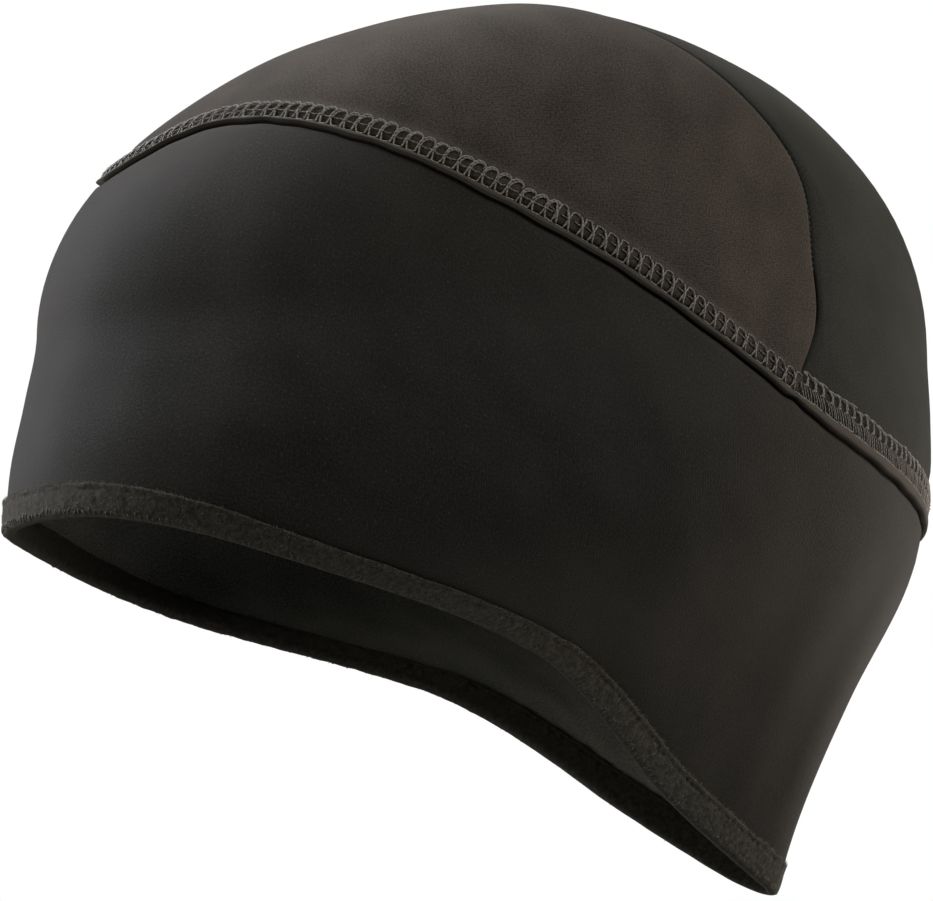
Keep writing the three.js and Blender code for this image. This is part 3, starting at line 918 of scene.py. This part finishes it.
# %% [markdown]
# ## Materials
# Colours are written as the hex values one would pick on a screen, and turned to the linear
# values that light is reckoned in. One helper adds a node with its settings and links, so a
# material reads from top to bottom as a list of what it is made of, and another finishes the
# shader.
# %% Helpers for colours and nodes


def linear(hex_colour):
    """Linear RGBA of an sRGB hex colour."""
    parts = [int(hex_colour[i:i + 2], 16) / 255 for i in (1, 3, 5)]
    return [c / 12.92 if c <= 0.04045 else ((c + 0.055) / 1.055) ** 2.4 for c in parts] + [1]


def new_material(name):
    """An empty material with a shader."""
    material = bpy.data.materials.new(name)
    material.use_nodes = True
    return material


def add(material, kind, sockets=(), **settings):
    """Add a node with its own settings, and values or other nodes' outputs for its sockets."""
    node = material.node_tree.nodes.new(kind)
    for key, value in settings.items():
        setattr(node, key, value)
    for key, value in dict(sockets).items():
        if isinstance(value, bpy.types.NodeSocket):
            material.node_tree.links.new(value, node.inputs[key])
        else:
            node.inputs[key].default_value = value
    return node


def wave_scale(pitch_mm):
    """Scale of a Wave Texture whose bands repeat at a pitch."""
    return math.pi / 10 / (pitch_mm * MM)


def noise_scale(size_mm):
    """Scale of a Noise or Voronoi Texture whose grains have a size."""
    return 1 / (size_mm * MM)


def finish(material, colour, bump, sockets):
    """Link colour and relief to the shader, and set its even numbers on its own sockets."""
    shader = material.node_tree.nodes["Principled BSDF"]
    material.node_tree.links.new(colour.outputs["Result"], shader.inputs["Base Color"])
    material.node_tree.links.new(bump.outputs["Normal"], shader.inputs["Normal"])
    for key, value in sockets.items():
        shader.inputs[key].default_value = value
    print(material.name, "has", len(material.node_tree.nodes), "nodes")
    return material


print("#808080 is", round(linear("#808080")[0], 3), "in linear light")

# %% [markdown]
# ### Stretch jersey
# The cloth is a brushed polyester and elastane knit. What the eye sees is a dull, nearly black
# surface with an uneven grain of tiny stitches, a slight cloudiness, a soft pale bloom where it
# turns away, which is sheen, and a few specks of pale lint. The knit lines are about half a
# millimetre apart, and the grain breaks them up, so that no regular grid shows. The inside is
# brushed and painted paler, partly as painted light that reaches into the cap. Light and shade
# are painted where marked: the lip and the band's top paler, the crease under the lip near black.
# %% Jersey
PALE_BLOOM = "#b9b4ac"


def jersey(name, dark, light, wale_mm, sheen, roughness, lint):
    """Knit cloth by its two yarn colours, the width of its knit lines and how it takes light."""
    material = new_material(name)
    place = add(material, "ShaderNodeUVMap").outputs["UV"]
    wales = add(material, "ShaderNodeTexWave", {
        "Vector": place, "Scale": wave_scale(wale_mm), "Distortion": 4.0, "Detail": 3.0,
        "Detail Scale": 1.6, "Detail Roughness": 0.7,
    }, bands_direction="X")
    clouds = add(material, "ShaderNodeTexNoise", {
        "Vector": place, "Scale": noise_scale(16), "Detail": 3.0, "Roughness": 0.55,
    })
    grain = add(material, "ShaderNodeTexNoise", {
        "Vector": place, "Scale": noise_scale(0.5), "Detail": 2.0, "Roughness": 0.85,
    })
    shade = add(material, "ShaderNodeMath", {
        0: clouds.outputs["Fac"], 1: 0.35, 2: grain.outputs["Fac"],
    }, operation="MULTIPLY_ADD")
    shade = add(material, "ShaderNodeMath", {
        0: wales.outputs["Fac"], 1: 0.07, 2: shade.outputs[0],
    }, operation="MULTIPLY_ADD")
    ground = add(material, "ShaderNodeMapRange", {
        "Value": shade.outputs[0], "From Min": 0.57, "From Max": 0.85,
    })
    yarn = add(material, "ShaderNodeMix", {
        "Factor": ground.outputs["Result"], "A": linear(dark), "B": linear(light),
    }, data_type="RGBA")
    sparks = add(material, "ShaderNodeTexNoise", {
        "Vector": place, "Scale": noise_scale(0.55), "Detail": 1.0, "Roughness": 0.5,
    })
    spark = add(material, "ShaderNodeMapRange", {
        "Value": sparks.outputs["Fac"], "From Min": 0.64, "From Max": 0.78,
        "To Min": 0.0, "To Max": 0.1,
    })
    cells = add(material, "ShaderNodeTexVoronoi", {"Vector": place, "Scale": noise_scale(9)})
    speck = add(material, "ShaderNodeMapRange", {
        "Value": cells.outputs["Distance"], "From Min": 0.03, "From Max": 0.012,
        "To Min": 0.0, "To Max": lint,
    })
    some = add(material, "ShaderNodeMath", {
        0: cells.outputs["Color"], 1: 0.7,
    }, operation="GREATER_THAN")
    few = add(material, "ShaderNodeMath", {
        0: speck.outputs["Result"], 1: some.outputs[0],
    }, operation="MULTIPLY")
    pale = add(material, "ShaderNodeMath", {
        0: spark.outputs["Result"], 1: few.outputs[0],
    }, operation="MAXIMUM")
    colour = add(material, "ShaderNodeMix", {
        "Factor": pale.outputs[0], "A": yarn.outputs["Result"], "B": linear("#8a8880"),
    }, data_type="RGBA")
    # Painted light makes the lip and band top paler; painted shade makes the crease near black.
    for mark, marked_colour in (("rolled", "#45403b"), ("painted_crease_shade", "#020202")):
        marked = add(material, "ShaderNodeAttribute", attribute_name=mark)
        colour = add(material, "ShaderNodeMix", {
            "Factor": marked.outputs["Fac"], "A": colour.outputs["Result"],
            "B": linear(marked_colour),
        }, data_type="RGBA")
    # The brushed inside is painted paler, partly as painted light that reaches into the cap.
    inside = add(material, "ShaderNodeAttribute", attribute_name="lining")
    fleece = add(material, "ShaderNodeMix", {
        "Factor": ground.outputs["Result"], "A": linear("#585856"), "B": linear("#999995"),
    }, data_type="RGBA")
    colour = add(material, "ShaderNodeMix", {
        "Factor": inside.outputs["Fac"], "A": colour.outputs["Result"],
        "B": fleece.outputs["Result"],
    }, data_type="RGBA")
    relief = add(material, "ShaderNodeMath", {
        0: wales.outputs["Fac"], 1: 0.12, 2: grain.outputs["Fac"],
    }, operation="MULTIPLY_ADD")
    bump = add(material, "ShaderNodeBump", {
        "Height": relief.outputs[0], "Strength": 0.7, "Distance": 0.2 * MM,
    })
    return finish(material, colour, bump, {
        "Roughness": roughness, "Specular IOR Level": 0.18, "Sheen Weight": sheen,
        "Sheen Roughness": 0.45, "Sheen Tint": linear(PALE_BLOOM),
    })


band_jersey = jersey("smooth polyester jersey", "#090908", "#222120", 0.5, 0.29, 0.8, 0.5)
front_jersey = jersey(
    "brushed jersey brown charcoal", "#26221e", "#463f39", 0.55, 0.15, 0.85, 0.35
)
back_jersey = jersey("brushed jersey charcoal", "#181917", "#2b2c29", 0.55, 0.17, 0.85, 0.35)

# %% [markdown]
# ### Brushed binding, nap and thread
# The binding is the same knit brushed hard, so it has no lines left, only clumps of nap with
# dark pits between them. Its inside leaf is painted a little darker, as painted shade inside the
# cap. The loose nap fibres are painted much paler than the binding, as a painted highlight where
# the fuzz catches the light. The seam thread is textured polyester: softly shiny, with a fine
# twist that shows as slanting bands on each strand.
# %% Binding, nap and thread
# How far the binding's inside leaf is painted darker: painted shade.
INSIDE_LEAF_PAINTED_SHADE = 0.3


def brushed_knit(name, dark, light, sheen):
    """Napped cloth by the colours of its pits and clumps."""
    material = new_material(name)
    place = add(material, "ShaderNodeTexCoord").outputs["Object"]
    clumps = add(material, "ShaderNodeTexNoise", {
        "Vector": place, "Scale": noise_scale(1.1), "Detail": 6.0, "Roughness": 0.75,
    })
    pits = add(material, "ShaderNodeMapRange", {
        "Value": clumps.outputs["Fac"], "From Min": 0.4, "From Max": 0.64,
    })
    colour = add(material, "ShaderNodeMix", {
        "Factor": pits.outputs["Result"], "A": linear(dark), "B": linear(light),
    }, data_type="RGBA")
    inside = add(material, "ShaderNodeAttribute", attribute_name="lining")
    # The inside leaf is painted darker: painted shade.
    inside_leaf_shade = add(material, "ShaderNodeMath", {
        0: inside.outputs["Fac"], 1: INSIDE_LEAF_PAINTED_SHADE,
    }, operation="MULTIPLY")
    colour = add(material, "ShaderNodeMix", {
        "Factor": inside_leaf_shade.outputs[0], "A": colour.outputs["Result"], "B": linear(dark),
    }, data_type="RGBA")
    bump = add(material, "ShaderNodeBump", {
        "Height": clumps.outputs["Fac"], "Strength": 0.9, "Distance": 0.45 * MM,
    })
    return finish(material, colour, bump, {
        "Roughness": 0.95, "Specular IOR Level": 0.15, "Sheen Weight": sheen,
        "Sheen Roughness": 0.6, "Sheen Tint": linear(PALE_BLOOM),
    })


def twisted_thread(name, dark, light):
    """Thread by the two colours of its twist."""
    material = new_material(name)
    place = add(material, "ShaderNodeUVMap").outputs["UV"]
    twist = add(material, "ShaderNodeTexWave", {
        "Vector": place, "Scale": wave_scale(0.45), "Distortion": 0.8, "Detail": 1.0,
    }, bands_direction="DIAGONAL")
    colour = add(material, "ShaderNodeMix", {
        "Factor": twist.outputs["Fac"], "A": linear(dark), "B": linear(light),
    }, data_type="RGBA")
    bump = add(material, "ShaderNodeBump", {
        "Height": twist.outputs["Fac"], "Strength": 0.5, "Distance": 0.06 * MM,
    })
    return finish(material, colour, bump, {
        "Roughness": 0.55, "Specular IOR Level": 0.35, "Sheen Weight": 0.1,
    })


binding_knit = brushed_knit("brushed binding knit", "#0e0e0d", "#383733", 0.28)
# The nap is painted paler than the binding it comes from: a painted highlight.
nap_painted_highlight = brushed_knit("polyester nap fibre painted highlight", "#504e4a", "#7a776f", 0.3)
seam_thread = twisted_thread("textured polyester thread grey", "#575451", "#7f7b77")
dark_thread = twisted_thread("textured polyester thread dark", "#0d0c0b", "#161412")
hem_thread = twisted_thread("textured polyester thread charcoal", "#343230", "#4c4a46")

# %% [markdown]
# ## Finish the pieces
# Each piece now takes its material and rides with the cap's one body, and the plain solids it
# stands for are hidden.
# %% Finishes, bodies and hidden plain solids
PIECES = [
    (band, band_jersey, "band_jersey", ["band"]),
    (crown_front, front_jersey, "crown_front_jersey", ["crown_front"]),
    (crown_back, back_jersey, "crown_back_jersey", ["crown_back"]),
    (binding, binding_knit, "binding_fleece", ["hem_binding"]),
    (seam_front, seam_thread, "seam_thread", ["flatlock_front"]),
    (seam_rear, seam_thread, "seam_thread", ["flatlock_rear"]),
    (arch_threads, dark_thread, "seam_thread", []),
    (hem_threads, hem_thread, "seam_thread", []),
    (nap, nap_painted_highlight, "binding_fleece", []),
]
for piece, material, slot, nodes in PIECES:
    piece.data.materials.clear()
    piece.data.materials.append(material)
    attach(piece, "root")
    if nodes:
        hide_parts(*nodes)
    print(piece.name, "is of", material.name)

# %% [markdown]
# ## The studio
# The background is plain white, and gives only a little light itself, so that black cloth keeps
# its depth. Six large soft lamps do the rest, all turned to the middle of the cap. The key hangs
# high over the brow and grazes the crown and the lip. One beyond the brow draws a pale line down
# it, a weak one fills the front, and three lift the side, the nape and the nape's edge. The
# floor is plain and pale, and lies two metres below the cap, out of this picture.
# %% Light, floor and background
CAP_MIDDLE = Vector((0, 0, -0.09))
LAMP_SIZE = 1.0
LAMPS = [
    ("key_light", (-0.5, -0.9, 1.6), 34, "#fafcff"),
    ("brow_light", (-1.2, -1.3, 0.8), 31, "#f6f6ff"),
    ("front_light", (0.5, -1.8, 0.2), 12, "#fffcea"),
    ("side_light", (1.15, 1.1, 0.6), 22, "#fffdf6"),
    ("nape_light", (0.0, 1.6, -0.5), 11, "#ffe6c8"),
    ("rim_light", (-0.8, 1.5, -0.3), 6, "#ffffff"),
]
ROOM_LIGHT = 0.05
FLOOR_SIZE, FLOOR_HEIGHT = 12, -2.1
world = bpy.data.worlds.new("white room")
bpy.context.scene.world = world
world.use_nodes = True
room = world.node_tree.nodes["Background"]
room.inputs["Color"].default_value = (1, 1, 1, 1)
seen = world.node_tree.nodes.new("ShaderNodeLightPath").outputs["Is Camera Ray"]
strength = world.node_tree.nodes.new("ShaderNodeMapRange")
strength.inputs["To Min"].default_value = ROOM_LIGHT
world.node_tree.links.new(seen, strength.inputs["Value"])
world.node_tree.links.new(strength.outputs["Result"], room.inputs["Strength"])
for name, place, power, colour in LAMPS:
    bpy.ops.object.select_all(action="DESELECT")
    bpy.ops.object.light_add(type="AREA", location=place)
    lamp = bpy.context.object
    lamp.name = name
    lamp.rotation_euler = (CAP_MIDDLE - Vector(place)).to_track_quat("-Z", "Y").to_euler()
    lamp.data.size = LAMP_SIZE
    lamp.data.energy = power
    lamp.data.color = linear(colour)[:3]
    print(name, power, "W")

bpy.ops.object.select_all(action="DESELECT")
bpy.ops.mesh.primitive_plane_add(size=FLOOR_SIZE, location=(0, 0, FLOOR_HEIGHT))
floor = bpy.context.object
floor.name = "floor"
bpy.ops.object.transform_apply(location=True, rotation=False, scale=False)
pale = new_material("pale painted floor")
pale_shader = pale.node_tree.nodes["Principled BSDF"]
pale_shader.inputs["Base Color"].default_value = linear("#c6c6c3")
pale_shader.inputs["Roughness"].default_value = 0.9
floor.data.materials.append(pale)
bpy.context.scene.view_settings.view_transform = "Standard"
